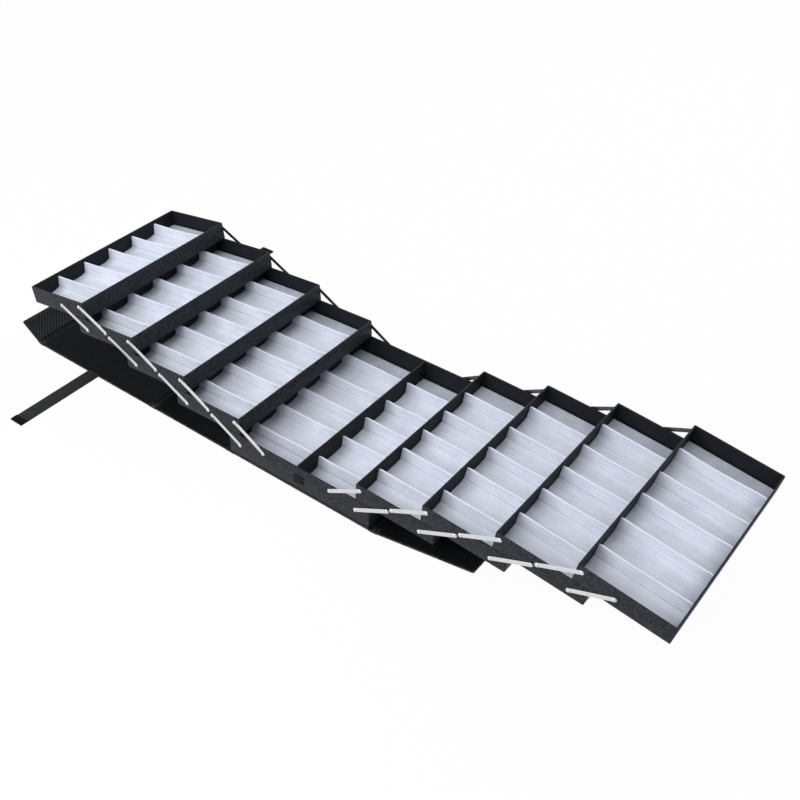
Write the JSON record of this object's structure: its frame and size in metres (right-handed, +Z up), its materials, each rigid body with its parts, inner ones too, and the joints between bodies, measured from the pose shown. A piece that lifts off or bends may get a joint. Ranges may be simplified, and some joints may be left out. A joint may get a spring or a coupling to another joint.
{
  "type": "sunglasses display tray",
  "caption": "Folding tiered case for showing sunglasses: ridged white inserts in shallow trays that step out both ways on riveted links, with a wrap-around cover and straps.",
  "frame": {"origin": "centre of the underside of the cover's spine board, on the table", "axes": "+X across the wings to the right, +Y from the front to the back, +Z up"},
  "size_m": [1.383, 0.7312, 0.1689],
  "materials": {
    "tray_skin": "charcoal grained leatherette over board, satin sheen",
    "cover_skin": "black grained leatherette over board, low sheen",
    "twill_skin": "black leatherette with a fine diagonal twill",
    "satin": "cool white satin over formed card",
    "board": "dark board hidden under the inserts",
    "link_steel": "zinc plated strip steel",
    "rivet_steel": "zinc plated rivet",
    "webbing": "black woven strap",
    "loop_tape": "black loop tape",
    "hook_tape": "black hook tape"
  },
  "bodies": {
    "base": {"spine_board": "cover_skin", "spine_folds": "cover_skin", "base_box": "tray_skin", "base_floor_board": "board", "base_divider": "tray_skin", "left_bay_insert": "satin", "right_bay_insert": "satin", "base_rivets": "rivet_steel", "hook_patches": "hook_tape"},
    "right_tray_1": {"right_tray_1": "tray_skin", "right_insert_1": "satin", "right_tray_rivets_1": "rivet_steel"},
    "right_upper_links_1": {"right_upper_links_1": "link_steel"},
    "right_lower_links_1": {"right_lower_links_1": "link_steel"},
    "right_tray_2": {"right_tray_2": "tray_skin", "right_insert_2": "satin", "right_tray_rivets_2": "rivet_steel"},
    "right_upper_links_2": {"right_upper_links_2": "link_steel"},
    "right_lower_links_2": {"right_lower_links_2": "link_steel"},
    "right_tray_3": {"right_tray_3": "tray_skin", "right_insert_3": "satin", "right_tray_rivets_3": "rivet_steel"},
    "right_upper_links_3": {"right_upper_links_3": "link_steel"},
    "right_lower_links_3": {"right_lower_links_3": "link_steel"},
    "right_tray_4": {"right_tray_4": "tray_skin", "right_insert_4": "satin", "right_tray_rivets_4": "rivet_steel"},
    "right_upper_links_4": {"right_upper_links_4": "link_steel"},
    "right_lower_links_4": {"right_lower_links_4": "link_steel"},
    "left_tray_1": {"left_tray_1": "tray_skin", "left_insert_1": "satin", "left_tray_rivets_1": "rivet_steel"},
    "left_upper_links_1": {"left_upper_links_1": "link_steel"},
    "left_lower_links_1": {"left_lower_links_1": "link_steel"},
    "left_tray_2": {"left_tray_2": "tray_skin", "left_insert_2": "satin", "left_tray_rivets_2": "rivet_steel"},
    "left_upper_links_2": {"left_upper_links_2": "link_steel"},
    "left_lower_links_2": {"left_lower_links_2": "link_steel"},
    "left_tray_3": {"left_tray_3": "tray_skin", "left_insert_3": "satin", "left_tray_rivets_3": "rivet_steel"},
    "left_upper_links_3": {"left_upper_links_3": "link_steel"},
    "left_lower_links_3": {"left_lower_links_3": "link_steel"},
    "left_tray_4": {"left_tray_4": "tray_skin", "left_insert_4": "satin", "left_tray_rivets_4": "rivet_steel"},
    "left_upper_links_4": {"left_upper_links_4": "link_steel"},
    "left_lower_links_4": {"left_lower_links_4": "link_steel"},
    "left_side_board": {"left_side_board": "cover_skin", "lid_fold": "cover_skin"},
    "right_side_board": {"right_side_board": "cover_skin"},
    "lid": {"lid_board": "cover_skin", "lip_fold": "cover_skin", "strap_anchors": "webbing"},
    "lip": {"lip_board": "twill_skin"},
    "front_strap": {"front_strap": "webbing", "front_loop_patch": "loop_tape"},
    "back_strap": {"back_strap": "webbing", "back_loop_patch": "loop_tape"}
  },
  "joints": [
    {"name": "right_wing_fold", "type": "hinge", "parent": "base", "child": "right_upper_links_1", "pos_m": [0.07252, 0, 0.0465], "axis": [0, -1, 0], "range_deg": [0, 119.1]},
    {"name": "right_tray_pivot_1", "type": "hinge", "parent": "right_upper_links_1", "child": "right_tray_1", "pos_m": [0.13499, 0, 0.08328], "axis": [0, -1, 0], "range_deg": [-116.94, 0]},
    {"name": "right_lower_link_pivot_1", "type": "hinge", "parent": "base", "child": "right_lower_links_1", "pos_m": [0.12602, 0, 0.0365], "axis": [0, -1, 0], "range_deg": [0, 120.33]},
    {"name": "right_upper_link_pivot_2", "type": "hinge", "parent": "right_tray_1", "child": "right_upper_links_2", "pos_m": [0.19739, 0, 0.07892], "axis": [0, -1, 0], "range_deg": [0, 119.1]},
    {"name": "right_tray_pivot_2", "type": "hinge", "parent": "right_upper_links_2", "child": "right_tray_2", "pos_m": [0.2612, 0, 0.11332], "axis": [0, -1, 0], "range_deg": [-116.94, 0]},
    {"name": "right_lower_link_pivot_2", "type": "hinge", "parent": "right_tray_1", "child": "right_lower_links_2", "pos_m": [0.25047, 0, 0.06691], "axis": [0, -1, 0], "range_deg": [0, 120.33]},
    {"name": "right_upper_link_pivot_3", "type": "hinge", "parent": "right_tray_2", "child": "right_upper_links_3", "pos_m": [0.32339, 0, 0.10662], "axis": [0, -1, 0], "range_deg": [0, 119.1]},
    {"name": "right_tray_pivot_3", "type": "hinge", "parent": "right_upper_links_3", "child": "right_tray_3", "pos_m": [0.38845, 0, 0.13859], "axis": [0, -1, 0], "range_deg": [-116.94, 0]},
    {"name": "right_lower_link_pivot_3", "type": "hinge", "parent": "right_tray_2", "child": "right_lower_links_3", "pos_m": [0.37599, 0, 0.09262], "axis": [0, -1, 0], "range_deg": [0, 120.33]},
    {"name": "right_upper_link_pivot_4", "type": "hinge", "parent": "right_tray_3", "child": "right_upper_links_4", "pos_m": [0.45035, 0, 0.12954], "axis": [0, -1, 0], "range_deg": [0, 119.1]},
    {"name": "right_tray_pivot_4", "type": "hinge", "parent": "right_upper_links_4", "child": "right_tray_4", "pos_m": [0.51657, 0, 0.15904], "axis": [0, -1, 0], "range_deg": [-116.94, 0]},
    {"name": "right_lower_link_pivot_4", "type": "hinge", "parent": "right_tray_3", "child": "right_lower_links_4", "pos_m": [0.50238, 0, 0.11357], "axis": [0, -1, 0], "range_deg": [0, 120.33]},
    {"name": "left_wing_fold", "type": "hinge", "parent": "base", "child": "left_upper_links_1", "pos_m": [-0.07252, 0, 0.0465], "axis": [0, 1, 0], "range_deg": [0, 119.1]},
    {"name": "left_tray_pivot_1", "type": "hinge", "parent": "left_upper_links_1", "child": "left_tray_1", "pos_m": [-0.13499, 0, 0.08328], "axis": [0, 1, 0], "range_deg": [-116.94, 0]},
    {"name": "left_lower_link_pivot_1", "type": "hinge", "parent": "base", "child": "left_lower_links_1", "pos_m": [-0.12602, 0, 0.0365], "axis": [0, 1, 0], "range_deg": [0, 120.33]},
    {"name": "left_upper_link_pivot_2", "type": "hinge", "parent": "left_tray_1", "child": "left_upper_links_2", "pos_m": [-0.19739, 0, 0.07892], "axis": [0, 1, 0], "range_deg": [0, 119.1]},
    {"name": "left_tray_pivot_2", "type": "hinge", "parent": "left_upper_links_2", "child": "left_tray_2", "pos_m": [-0.2612, 0, 0.11332], "axis": [0, 1, 0], "range_deg": [-116.94, 0]},
    {"name": "left_lower_link_pivot_2", "type": "hinge", "parent": "left_tray_1", "child": "left_lower_links_2", "pos_m": [-0.25047, 0, 0.06691], "axis": [0, 1, 0], "range_deg": [0, 120.33]},
    {"name": "left_upper_link_pivot_3", "type": "hinge", "parent": "left_tray_2", "child": "left_upper_links_3", "pos_m": [-0.32339, 0, 0.10662], "axis": [0, 1, 0], "range_deg": [0, 119.1]},
    {"name": "left_tray_pivot_3", "type": "hinge", "parent": "left_upper_links_3", "child": "left_tray_3", "pos_m": [-0.38845, 0, 0.13859], "axis": [0, 1, 0], "range_deg": [-116.94, 0]},
    {"name": "left_lower_link_pivot_3", "type": "hinge", "parent": "left_tray_2", "child": "left_lower_links_3", "pos_m": [-0.37599, 0, 0.09262], "axis": [0, 1, 0], "range_deg": [0, 120.33]},
    {"name": "left_upper_link_pivot_4", "type": "hinge", "parent": "left_tray_3", "child": "left_upper_links_4", "pos_m": [-0.45035, 0, 0.12954], "axis": [0, 1, 0], "range_deg": [0, 119.1]},
    {"name": "left_tray_pivot_4", "type": "hinge", "parent": "left_upper_links_4", "child": "left_tray_4", "pos_m": [-0.51657, 0, 0.15904], "axis": [0, 1, 0], "range_deg": [-116.94, 0]},
    {"name": "left_lower_link_pivot_4", "type": "hinge", "parent": "left_tray_3", "child": "left_lower_links_4", "pos_m": [-0.50238, 0, 0.11357], "axis": [0, 1, 0], "range_deg": [0, 120.33]},
    {"name": "left_side_fold", "type": "hinge", "parent": "base", "child": "left_side_board", "pos_m": [-0.159, 0, 0.0015], "axis": [0, 1, 0], "range_deg": [0, 90]},
    {"name": "right_side_fold", "type": "hinge", "parent": "base", "child": "right_side_board", "pos_m": [0.159, 0, 0.0015], "axis": [0, -1, 0], "range_deg": [0, 77.8]},
    {"name": "lid_hinge", "type": "hinge", "parent": "left_side_board", "child": "lid", "pos_m": [-0.3558, 0, 0.0015], "axis": [0, 1, 0], "range_deg": [0, 18]},
    {"name": "lip_hinge", "type": "hinge", "parent": "lid", "child": "lip", "pos_m": [-0.6773, 0, 0.0015], "axis": [0, 1, 0], "range_deg": [-36, 54]},
    {"name": "front_strap_bend", "type": "hinge", "parent": "lid", "child": "front_strap", "pos_m": [-0.5198, -0.18955, 0.001], "axis": [-1, 0, 0], "range_deg": [0, 90]},
    {"name": "back_strap_bend", "type": "hinge", "parent": "lid", "child": "back_strap", "pos_m": [-0.5568, 0.18955, 0.001], "axis": [1, 0, 0], "range_deg": [0, 90]}
  ],
  "couplings": [
    {"joint": "right_tray_pivot_1", "follows": "right_wing_fold", "ratio": -0.98186},
    {"joint": "right_lower_link_pivot_1", "follows": "right_wing_fold", "ratio": 1.0103},
    {"joint": "right_upper_link_pivot_2", "follows": "right_wing_fold", "ratio": 1},
    {"joint": "right_tray_pivot_2", "follows": "right_wing_fold", "ratio": -0.98186},
    {"joint": "right_lower_link_pivot_2", "follows": "right_wing_fold", "ratio": 1.0103},
    {"joint": "right_upper_link_pivot_3", "follows": "right_wing_fold", "ratio": 1},
    {"joint": "right_tray_pivot_3", "follows": "right_wing_fold", "ratio": -0.98186},
    {"joint": "right_lower_link_pivot_3", "follows": "right_wing_fold", "ratio": 1.0103},
    {"joint": "right_upper_link_pivot_4", "follows": "right_wing_fold", "ratio": 1},
    {"joint": "right_tray_pivot_4", "follows": "right_wing_fold", "ratio": -0.98186},
    {"joint": "right_lower_link_pivot_4", "follows": "right_wing_fold", "ratio": 1.0103},
    {"joint": "left_tray_pivot_1", "follows": "left_wing_fold", "ratio": -0.98186},
    {"joint": "left_lower_link_pivot_1", "follows": "left_wing_fold", "ratio": 1.0103},
    {"joint": "left_upper_link_pivot_2", "follows": "left_wing_fold", "ratio": 1},
    {"joint": "left_tray_pivot_2", "follows": "left_wing_fold", "ratio": -0.98186},
    {"joint": "left_lower_link_pivot_2", "follows": "left_wing_fold", "ratio": 1.0103},
    {"joint": "left_upper_link_pivot_3", "follows": "left_wing_fold", "ratio": 1},
    {"joint": "left_tray_pivot_3", "follows": "left_wing_fold", "ratio": -0.98186},
    {"joint": "left_lower_link_pivot_3", "follows": "left_wing_fold", "ratio": 1.0103},
    {"joint": "left_upper_link_pivot_4", "follows": "left_wing_fold", "ratio": 1},
    {"joint": "left_tray_pivot_4", "follows": "left_wing_fold", "ratio": -0.98186},
    {"joint": "left_lower_link_pivot_4", "follows": "left_wing_fold", "ratio": 1.0103},
    {"joint": "left_side_fold", "follows": "left_wing_fold", "ratio": 0.75567},
    {"joint": "right_side_fold", "follows": "right_wing_fold", "ratio": 0.65324}
  ]
}
